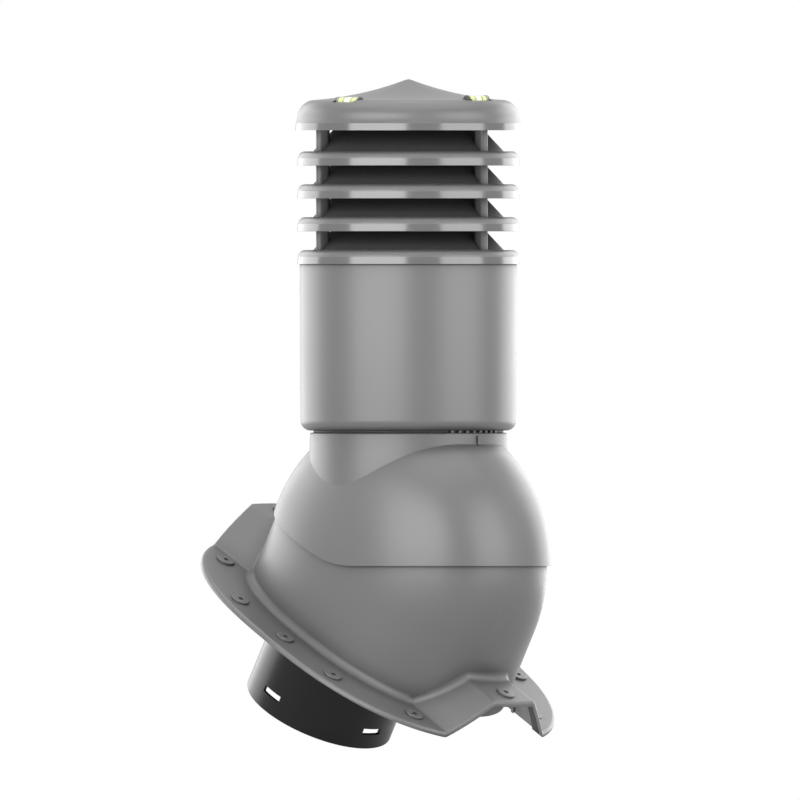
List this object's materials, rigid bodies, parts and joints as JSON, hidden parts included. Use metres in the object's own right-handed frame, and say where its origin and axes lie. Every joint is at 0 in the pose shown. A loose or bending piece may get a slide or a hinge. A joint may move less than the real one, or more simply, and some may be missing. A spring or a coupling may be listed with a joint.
{
  "type": "roof ventilation chimney",
  "caption": "Insulated roof vent with a louvred outlet and rain hood on a neck that tilts over a domed flange shaped for trapezoidal sheet, with a duct stub below.",
  "frame": {"origin": "where the plumb chimney axis meets the plane of the roof's pans", "axes": "+Z plumb, up the chimney; +X level, pointing down the slope; +Y level, across the slope. The roof plane falls 30 degrees towards +X."},
  "size_m": [0.2982, 0.2538, 0.5464],
  "materials": {
    "grey_plastic": "satin moulded",
    "black_plastic": "satin moulded",
    "seal_rubber": "matt",
    "foam": "closed-cell foam",
    "zinc_steel": "zinc plated",
    "clear_tube": "clear acrylic",
    "level_fluid": "clear yellow-green fluid"
  },
  "bodies": {
    "base": {"roof_base": "grey_plastic", "flange_seal": "seal_rubber", "duct_stub": "black_plastic", "stub_gasket": "seal_rubber", "stub_screw_1": "zinc_steel", "stub_screw_2": "zinc_steel", "stub_screw_3": "zinc_steel", "stub_screw_4": "zinc_steel"},
    "outlet": {"tilt_shell": "grey_plastic", "neck_seal": "seal_rubber", "body_casing": "grey_plastic", "casing_deck": "grey_plastic", "insulation_sleeve": "foam", "inner_duct": "black_plastic", "louvre_ring_1": "grey_plastic", "louvre_ring_2": "grey_plastic", "louvre_ring_3": "grey_plastic", "louvre_ring_4": "grey_plastic", "hood": "grey_plastic", "tie_rod_1": "zinc_steel", "tie_rod_2": "zinc_steel", "tie_rod_3": "zinc_steel", "tie_nut_1": "zinc_steel", "tie_nut_2": "zinc_steel", "tie_nut_3": "zinc_steel", "level_tube_downhill": "clear_tube", "level_fluid_downhill": "level_fluid", "level_tube_across": "clear_tube", "level_fluid_across": "level_fluid"}
  },
  "joints": [
    {"name": "outlet_tilt", "type": "hinge", "parent": "base", "child": "outlet", "pos_m": [0, 0, 0.08314], "axis": [0, 1, 0], "range_deg": [0, 20]}
  ]
}
